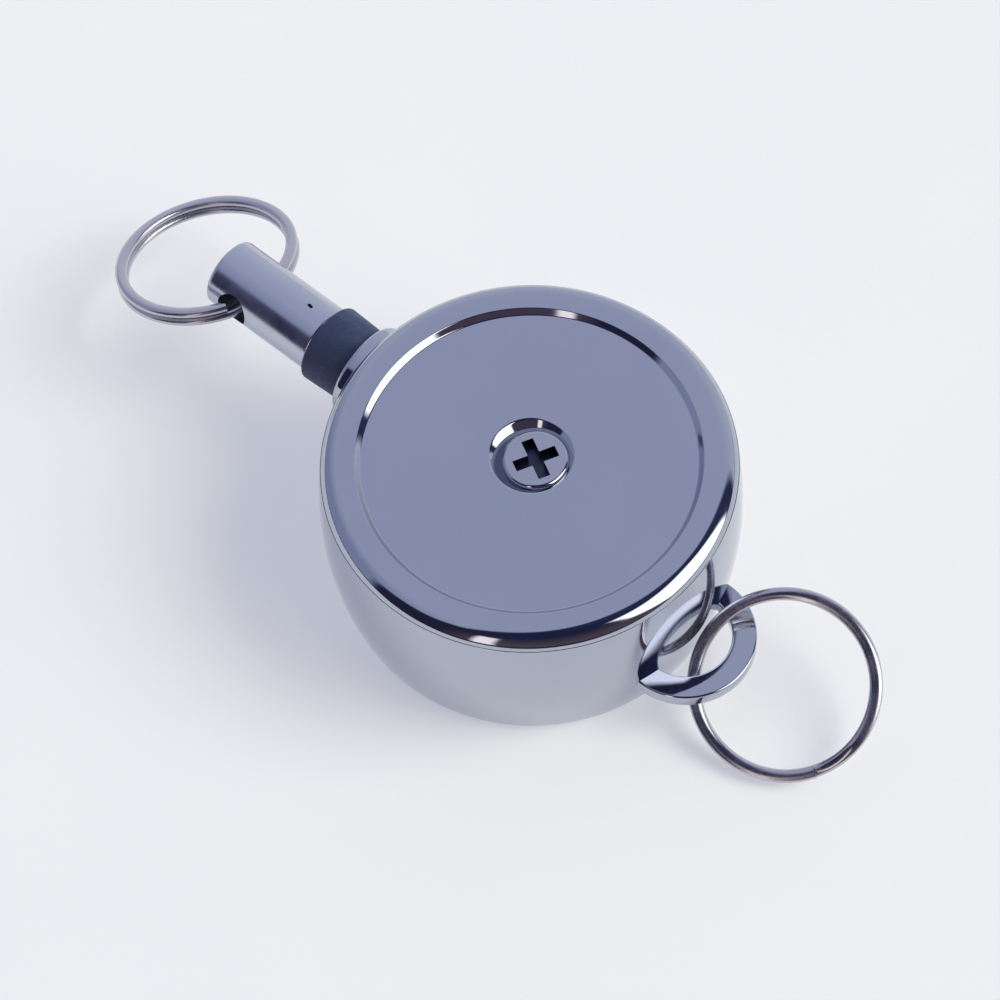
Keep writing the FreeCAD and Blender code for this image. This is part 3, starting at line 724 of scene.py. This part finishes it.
def cross_hole_tool():
    """A closed cylinder through the fitting, for the key ring's hole."""
    middle = Vector((-(fitting_outer - cross_hole_setback), 0, cord_height))
    along = Vector((0, math.cos(cross_hole_tilt), -math.sin(cross_hole_tilt)))
    reach = 2 * fitting_radius
    turn = along.to_track_quat("Z", "Y").to_matrix().to_4x4()
    placement = Matrix.Translation(middle) @ turn
    corners = [
        (0, -reach),
        (cross_hole_radius, -reach),
        (cross_hole_radius, reach),
        (0, reach),
    ]
    return lathe("hole", corners, bore_metal, placement, segments=96)


def punch_tool(steps=12):
    """A short upright block with round ends, for the punch mark in the fitting's top."""
    middle = Vector((-(fitting_inner + punch_distance), punch_side))
    run = Vector(punch_run)
    outline = []
    for end, start in ((1, -90), (-1, 90)):
        for step in range(steps + 1):
            turn = Matrix.Rotation(math.radians(start + 180 * step / steps), 2)
            outline.append(middle + end * run + turn @ run.normalized() * punch_radius)
    crest = cord_height + fitting_radius
    floor_outline = [(*point, crest - punch_depth) for point in outline]
    roof_outline = [(*point, crest + punch_depth) for point in outline]
    # The block's near-black finish passes to the punch mark's cut faces as painted shade.
    return block("punch", floor_outline, roof_outline, recess_painted_shade)


def make_fitting():
    """The polished end cylinder with its cross hole and punch mark."""
    corners = [
        (0, fitting_bore_depth),
        (fitting_bore, fitting_bore_depth),
        (fitting_bore, 0),
        (fitting_radius, 0, fitting_inner_rounding),
    ]
    # Bands along the barrel keep its faces small, so the cuts don't spoil its shading.
    corners += [(fitting_radius, fitting_length * band / fitting_bands)
                for band in range(2, fitting_bands - 1)]
    corners += [
        (fitting_radius, fitting_length, fitting_outer_rounding),
        (0, fitting_length),
    ]
    fitting = lathe("end_barrel", corners, fitting_metal, cord_line(fitting_inner), segments=384)
    return cut(fitting, cross_hole_tool(), punch_tool())


# Split rings

ring_mean_radius = 7.0 * MM
coil_gap = 0.04 * MM
ramp_turn = math.radians(30)
ring_steps_per_turn = 240
wire_fullness = 2.2


def oval(half_width, half_height, fullness, count=40):
    """Points round a superellipse: fullness 2 is an ellipse, and more is squarer."""
    points = []
    for step in range(count):
        angle = 2 * math.pi * step / count
        across, up = math.cos(angle), math.sin(angle)
        points.append((half_width * math.copysign(abs(across) ** (2 / fullness), across),
                       half_height * math.copysign(abs(up) ** (2 / fullness), up)))
    return points


def make_ring(name, centre, axis, toward, wire_width, coil_height):
    """Two flat coils of one rounded wire, which starts towards a side and ramps up once."""
    across = (toward - axis * toward.dot(axis)).normalized()
    aside = axis.cross(across)
    coil = 2 * math.pi - ramp_turn
    total = 2 * coil + ramp_turn
    count = int(ring_steps_per_turn * total / (2 * math.pi))
    coil_offset = (coil_height + coil_gap) / 2
    path = []
    frames = []
    for step in range(count + 1):
        angle = total * step / count
        climb = min(max((angle - coil) / ramp_turn, 0), 1)
        smooth = climb * climb * (3 - 2 * climb)
        height = coil_offset * (2 * smooth - 1)
        outwards = across * math.cos(angle) + aside * math.sin(angle)
        path.append(centre + outwards * ring_mean_radius + axis * height)
        frames.append((outwards, axis))
    section = oval(wire_width / 2, coil_height / 2, wire_fullness)
    return sweep(name, path, frames, section, ring_metal)


def ring_place(mount):
    """Centre and axis of a split ring's opening, from the record's mounts."""
    found = [m for m in frame["record"]["mounts"] if m["name"] == mount][0]
    return Vector(found["pos_m"]), Vector(found["axis"]).normalized()


# Cord

cord_radius = 0.45 * MM
drum_layer = 11.56 * MM
cord_bend_radius = 3.0 * MM
cord_lead_steps = 12
cord_bend_steps = 12
cord_run_steps = 60
strands = 6
strand_lay = 4.5 * MM
strand_depth = 0.05


def cord_path():
    """Centre line from the drum's top layer, round a bend at the wall, straight to the fitting."""
    mouth = -bushing_high.x
    low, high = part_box("cord_run")
    lead_angle = math.acos(drum_layer / mouth)
    touch = Vector((-drum_layer * math.cos(lead_angle), drum_layer * math.sin(lead_angle),
                    cord_height))
    if abs(high.y) < abs(low.y):
        touch.y = -touch.y
    corner = Vector((-mouth, 0, cord_height))
    outwards = Vector((-1, 0, 0))
    lead = (touch - corner).normalized()
    turn = math.acos(-lead.dot(outwards))
    setback = cord_bend_radius * math.tan(turn / 2)
    first = corner + lead * setback
    last = corner + outwards * setback
    points = [touch.lerp(first, step / cord_lead_steps) for step in range(cord_lead_steps)]
    for step in range(cord_bend_steps + 1):
        share = step / cord_bend_steps
        bezier = first.lerp(corner, share).lerp(corner.lerp(last, share), share)
        points.append(bezier)
    end = Vector((low.x, 0, cord_height))
    points += [last.lerp(end, step / cord_run_steps) for step in range(1, cord_run_steps + 1)]
    return points, last, end


def make_cord():
    """The coated wire rope: a lobed section that twists along the path."""
    points, straight_start, end = cord_path()
    frames = []
    travelled = 0.0
    for number, point in enumerate(points):
        before = points[max(number - 1, 0)]
        after = points[min(number + 1, len(points) - 1)]
        along = (after - before).normalized()
        travelled += (point - before).length
        side = UP.cross(along).normalized()
        twist = Matrix.Rotation(2 * math.pi * travelled / strand_lay, 3, along)
        frames.append((twist @ side, twist @ UP))
    section = []
    count = 8 * strands
    for step in range(count):
        angle = 2 * math.pi * step / count
        radius = cord_radius * (1 - strand_depth + strand_depth * math.cos(strands * angle))
        section.append((radius * math.cos(angle), radius * math.sin(angle)))
    cord = sweep("cord_rope", points, frames, section, cord_material)
    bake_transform(cord)
    return cord


key_wire = (0.96 * MM, 0.73 * MM)
anchor_wire = (1.0 * MM, 0.63 * MM)


def build():
    """Make every outer piece, attach it to the body it rides, and hide the CAD node it stands for.
    """
    for piece in (make_case_shell(), make_lug(), make_boss()):
        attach(piece, "case")
        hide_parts("case_shell")
    stand_ins = (
        (make_cover(), "case", "front_cover", "polished_cover"),
        (make_screw(), "case", "cover_screw", "screw_plate"),
        (make_bushing(), "case", "outlet_bushing", "eyelet"),
        (make_bumper(), "cord_end", "rubber_bumper", "bumper_rubber"),
        (make_fitting(), "cord_end", "end_fitting", "fitting_plate"),
    )
    for piece, body, node, slot in stand_ins:
        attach(piece, body)
        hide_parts(node)
    rings = (
        ("key_ring", Vector((1, 0, 0.35)), key_wire),
        ("anchor_ring", Vector((1, 0, -0.25)), anchor_wire),
    )
    for node, toward, wire in rings:
        centre, axis = ring_place(node + "_opening")
        piece = make_ring(node + "_wire", centre, axis, toward, *wire)
        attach(piece, node)
        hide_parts(node)
    cord = make_cord()
    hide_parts("cord_run")


build()


# Inner pieces keep their CAD shapes and get their own finishes.

def paint_nodes():
    """Give the inner pieces their finishes."""
    finishes = {
        "centre_post": turned_metal("post_steel", (0.55, 0.56, 0.58)),
        "lower_thrust_washer": moulded_plastic("washer_acetal", (0.72, 0.70, 0.64)),
        "power_spring": turned_metal("blued_spring", (0.16, 0.19, 0.27), 0.3, (0.25, 0.18, 0.12)),
        "cord_drum": moulded_plastic("drum_acetal", (0.03, 0.03, 0.033)),
        "drum_bush": turned_metal("bush_brass", (0.62, 0.46, 0.20)),
        "spring_cover": turned_metal("spring_cover_steel", (0.58, 0.59, 0.60)),
        "cord_coils": cord_material,
        "drum_crimp": turned_metal("crimp_aluminium", (0.66, 0.66, 0.67)),
    }
    finishes["upper_thrust_washer"] = finishes["lower_thrust_washer"]
    finishes["end_crimp"] = finishes["drum_crimp"]
    for node, material in finishes.items():
        mesh = frame["nodes"][node].data
        mesh.materials.clear()
        mesh.materials.append(material)


paint_nodes()


# Stage: pale floor, a studio's soft lights, and the camera

view_elevation = math.radians(60.77)
view_distance = 322.7 * MM
view_roll = math.radians(-3.61)
aim = Vector((0.66, -4.2, 16.0)) * MM
lens = 152.96
sensor_width = 36


def make_camera():
    """The camera at the photograph's viewing angle."""
    back = Vector((math.sin(view_azimuth) * math.cos(view_elevation),
                   -math.cos(view_azimuth) * math.cos(view_elevation),
                   math.sin(view_elevation)))
    # The camera stands over the reel's own axis line, and turns a little to take in both rings.
    place = Vector((0, 0, aim.z)) + back * view_distance
    forward = (aim - place).normalized()
    right = forward.cross(UP).normalized()
    up = right.cross(forward)
    rolled_right = right * math.cos(view_roll) + up * math.sin(view_roll)
    rolled_up = up * math.cos(view_roll) - right * math.sin(view_roll)
    camera_data = bpy.data.cameras.new("camera")
    camera_data.lens = lens
    camera_data.sensor_width = sensor_width
    camera_data.clip_start = 0.01
    camera = bpy.data.objects.new("camera", camera_data)
    bpy.context.scene.collection.objects.link(camera)
    rotation = Matrix((rolled_right, rolled_up, -forward)).transposed()
    camera.matrix_world = Matrix.Translation(place) @ rotation.to_4x4()
    bpy.context.scene.camera = camera


def view_direction(azimuth, elevation):
    """A direction in the frame from an azimuth counted from image right, and an elevation."""
    turn = math.radians(azimuth) + view_azimuth
    rise = math.radians(elevation)
    level = math.cos(rise)
    return Vector((math.cos(turn) * level, math.sin(turn) * level, math.sin(rise)))


def add_key_light(azimuth, elevation, spread_angle, strength, colour):
    """A broad sun that the polished metal doesn't mirror."""
    data = bpy.data.lights.new("key", "SUN")
    data.energy = strength
    data.angle = math.radians(spread_angle)
    data.color = colour
    light = bpy.data.objects.new("key", data)
    bpy.context.scene.collection.objects.link(light)
    light.rotation_euler = view_direction(azimuth, elevation).to_track_quat("Z", "Y").to_euler()
    light.visible_glossy = False


# The mirrored table is a disc, whose edge is nearer to the reel on the camera's side.
floor_size = 2.5
floor_near = 100 * MM
floor_far = 600 * MM
floor_edge_blur = 10 * MM
floor_colours = ((0.515, 0.52, 0.45), (0.53, 0.535, 0.46))
floor_light = (0.375, 0.385, 0.455)
beyond_colour = (0.02, 0.016, 0.02)


def make_floor():
    """A pale table top; mirrored in the metal it ends at the table's edge."""
    mesh = bpy.data.meshes.new("floor")
    corners = [(x * floor_size, y * floor_size, 0)
               for x, y in ((-1, -1), (1, -1), (1, 1), (-1, 1))]
    mesh.from_pydata(corners, [], [(0, 1, 2, 3)])
    material, nodes, links, shader = new_material("pale_floor")
    place = object_coordinates(nodes)
    shade = spread(nodes, links, noise(nodes, links, 30, 3.0, place), 0.3, 0.7, 0.0, 1.0)
    colour = mix_colour(nodes, links, shade, *floor_colours)
    radius = (floor_near + floor_far) / 2
    distance = nodes.new("ShaderNodeVectorMath")
    distance.operation = "DISTANCE"
    links.new(place, distance.inputs[0])
    distance.inputs[1].default_value = image_shift(0, radius - floor_near)
    beyond = spread(nodes, links, distance.outputs["Value"], radius - floor_edge_blur,
                    radius + floor_edge_blur, 0, 1)
    camera_ray = nodes.new("ShaderNodeLightPath").outputs["Is Camera Ray"]
    mirrored = calculate(nodes, links, "SUBTRACT", 1.0, camera_ray)
    hidden = calculate(nodes, links, "MULTIPLY", beyond, mirrored)
    links.new(mix_colour(nodes, links, hidden, colour, beyond_colour), shader.inputs["Base Color"])
    glow = calculate(nodes, links, "SUBTRACT", 1.0, hidden)
    shader.inputs["Emission Color"].default_value = (*floor_light, 1)
    links.new(glow, shader.inputs["Emission Strength"])
    shader.inputs["Roughness"].default_value = 0.8
    shader.inputs["Specular IOR Level"].default_value = 0.1
    mesh.materials.append(material)
    floor = bpy.data.objects.new("floor", mesh)
    bpy.context.scene.collection.objects.link(floor)


# The room as the reel sees it. A pair is where a change starts and where it is complete, in degrees:
# azimuth from image right, elevation from level. The backdrop's left side, lean and blur are in
# parts of the view direction's length instead, and the last two numbers of a lean are its values.
room_colour = (0.132, 0.09, 0.115)
room_upper_colour = (0.068, 0.054, 0.094)
room_upper_rise = (12, 37)
overhead_colour = (0.024, 0.028, 0.075)
overhead_rise = (37, 56)
right_colour = (0.034, 0.042, 0.105)
right_turn = (-40, 5)
corner_colour = (0.026, 0.026, 0.06)
corner_turn = (-118, -132)

backdrop_colour = (0.52, 0.55, 0.71)
backdrop_low_colour = (0.70, 0.73, 0.83)
backdrop_fall = (60, -5)
backdrop_left_colour = (0.34, 0.37, 0.54)
backdrop_left = (-0.25, -0.75)
backdrop_slant = -0.306
backdrop_lean = (0.1, -0.3, -0.25, 0.2)
backdrop_lean_left = (-0.5, -0.75, 0.0, -0.3)
backdrop_blur = (-0.04, 0.05)

window_colour = (2.7, 2.6055, 2.511)
window_left = (-50, -47)
window_right = (8, 4)
window_top = (64, 58)
window_foot_turn = (-27, -48)
window_foot_levels = (-9, 30)
window_foot_blur = (-3, 3)

lamp_colour = (1.75, 1.5, 1.4)
lamp_left = (-119, -116)
lamp_right = (-107, -110)
lamp_foot = (-6, 0)
lamp_top = (48, 40)

seen_backdrop_colour = (0.80, 0.82, 0.87)


def make_world():
    """A dark room with a lit backdrop behind the reel, a tall window on the right, and a lamp."""
    world = bpy.data.worlds.new("studio")
    world.use_nodes = True
    nodes = world.node_tree.nodes
    links = world.node_tree.links
    turn = nodes.new("ShaderNodeMapping")
    turn.vector_type = "POINT"
    turn.inputs["Rotation"].default_value = (0, 0, -view_azimuth)
    links.new(nodes.new("ShaderNodeTexCoord").outputs["Generated"], turn.inputs["Vector"])
    parts = nodes.new("ShaderNodeSeparateXYZ")
    links.new(turn.outputs["Vector"], parts.inputs["Vector"])
    x, y, z = parts.outputs

    def maths(operation, *values):
        return calculate(nodes, links, operation, *values)

    def ramp(value, low, high, out_low=0.0, out_high=1.0):
        return spread(nodes, links, value, low, high, out_low, out_high)

    def mixed(share, first, second):
        return mix_colour(nodes, links, share, first, second)

    def product(*values):
        result = values[0]
        for value in values[1:]:
            result = maths("MULTIPLY", result, value)
        return result

    elevation = maths("MULTIPLY", maths("ARCSINE", z), 180 / math.pi)
    azimuth = maths("MULTIPLY", maths("ARCTAN2", y, x), 180 / math.pi)

    # The room's dark sides: brown towards the camera, navy overhead and on the right.
    room = mixed(ramp(elevation, *room_upper_rise), room_colour, room_upper_colour)
    room = mixed(ramp(elevation, *overhead_rise), room, overhead_colour)
    room = mixed(ramp(azimuth, *right_turn), room, right_colour)
    room = mixed(ramp(azimuth, *corner_turn), room, corner_colour)

    # The backdrop: its upper edge leans over on the left, and it brightens towards the table.
    lean = maths("ADD", ramp(x, *backdrop_lean), ramp(x, *backdrop_lean_left))
    slanted = maths("ADD", maths("MULTIPLY", x, backdrop_slant), y)
    behind = maths("ADD", slanted, maths("MULTIPLY", z, lean))
    backdrop = mixed(ramp(elevation, *backdrop_fall), backdrop_colour, backdrop_low_colour)
    backdrop = mixed(ramp(x, *backdrop_left), backdrop, backdrop_left_colour)
    sky = mixed(ramp(behind, *backdrop_blur), room, backdrop)

    # The window: a tall upright light whose lower left corner is cut off.
    foot = ramp(azimuth, *window_foot_turn, *window_foot_levels)
    window = product(ramp(azimuth, *window_left), ramp(azimuth, *window_right),
                     ramp(maths("SUBTRACT", elevation, foot), *window_foot_blur),
                     ramp(elevation, *window_top))
    sky = mixed(window, sky, window_colour)
    lamp = product(ramp(azimuth, *lamp_left), ramp(azimuth, *lamp_right),
                   ramp(elevation, *lamp_foot), ramp(elevation, *lamp_top))
    sky = mixed(lamp, sky, lamp_colour)

    # The camera itself sees a plain pale backdrop.
    seen = nodes.new("ShaderNodeLightPath").outputs["Is Camera Ray"]
    sky = mixed(seen, sky, seen_backdrop_colour)
    links.new(sky, nodes["Background"].inputs["Color"])
    bpy.context.scene.world = world


def make_stage():
    make_camera()
    make_floor()
    make_world()
    add_key_light(azimuth=-6, elevation=46, spread_angle=34, strength=1.5, colour=(1.0, 0.98, 0.95))
    bpy.context.scene.view_settings.view_transform = "Standard"


make_stage()
